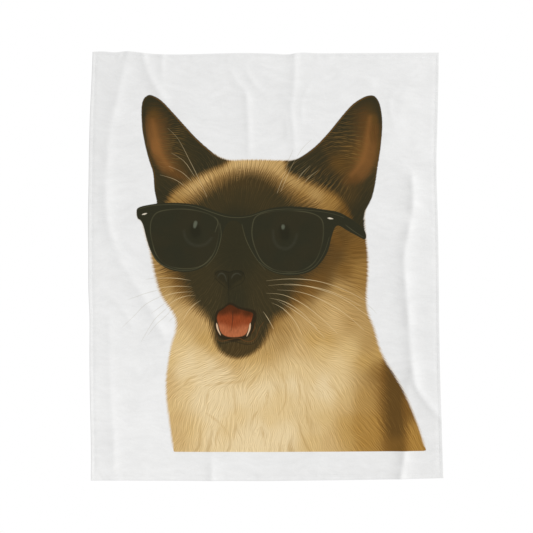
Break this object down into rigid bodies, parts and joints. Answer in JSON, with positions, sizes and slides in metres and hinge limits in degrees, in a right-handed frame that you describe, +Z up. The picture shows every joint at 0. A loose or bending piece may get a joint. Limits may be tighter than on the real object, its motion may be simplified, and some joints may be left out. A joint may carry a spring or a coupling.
{
  "type": "plush throw",
  "caption": "Velveteen plush throw with a hemmed edge and a printed cat portrait, hung by its top edge.",
  "frame": {"origin": "middle of the top edge, in the plane where the pile stands on its knitted backing", "axes": "+X to the right seen from the printed face, +Z up along the hanging throw, -Y out of the printed face"},
  "size_m": [1.27, 0.0068, 1.524],
  "materials": {
    "backing_white": "matte",
    "pile_white": "matte",
    "hem_white": "matte",
    "thread_white": "satin",
    "label_satin": "satin",
    "dye_coat": "matte",
    "dye_saddle": "matte",
    "dye_mask": "matte",
    "dye_ear": "matte",
    "dye_ear_lining": "matte",
    "dye_nose": "matte",
    "dye_mouth": "matte",
    "dye_tongue": "matte",
    "dye_teeth": "matte",
    "dye_whisker": "matte",
    "dye_frame": "matte",
    "dye_lens": "matte",
    "dye_rivet": "matte"
  },
  "bodies": {
    "blanket": {"knit_backing": "backing_white", "pile_ground": "pile_white", "print_coat": "dye_coat", "print_saddle": "dye_saddle", "print_mask": "dye_mask", "print_left_ear": "dye_ear", "print_right_ear": "dye_ear", "print_left_ear_lining": "dye_ear_lining", "print_right_ear_lining": "dye_ear_lining", "print_nose": "dye_nose", "print_mouth": "dye_mouth", "print_tongue": "dye_tongue", "print_teeth": "dye_teeth", "print_whiskers": "dye_whisker", "print_glasses_frame": "dye_frame", "print_left_lens": "dye_lens", "print_right_lens": "dye_lens", "print_rivets": "dye_rivet", "hem_top": "hem_white", "hem_bottom": "hem_white", "hem_left": "hem_white", "hem_right": "hem_white", "needle_thread_outer": "thread_white", "needle_thread_inner": "thread_white", "looper_thread": "thread_white", "care_label_tail": "label_satin"},
    "label": {"care_label": "label_satin"}
  },
  "joints": [
    {"name": "label_flap", "type": "hinge", "parent": "blanket", "child": "label", "pos_m": [0.6142, 0.0014, -1.4], "axis": [0, 0, -1], "range_deg": [0, 110]}
  ]
}
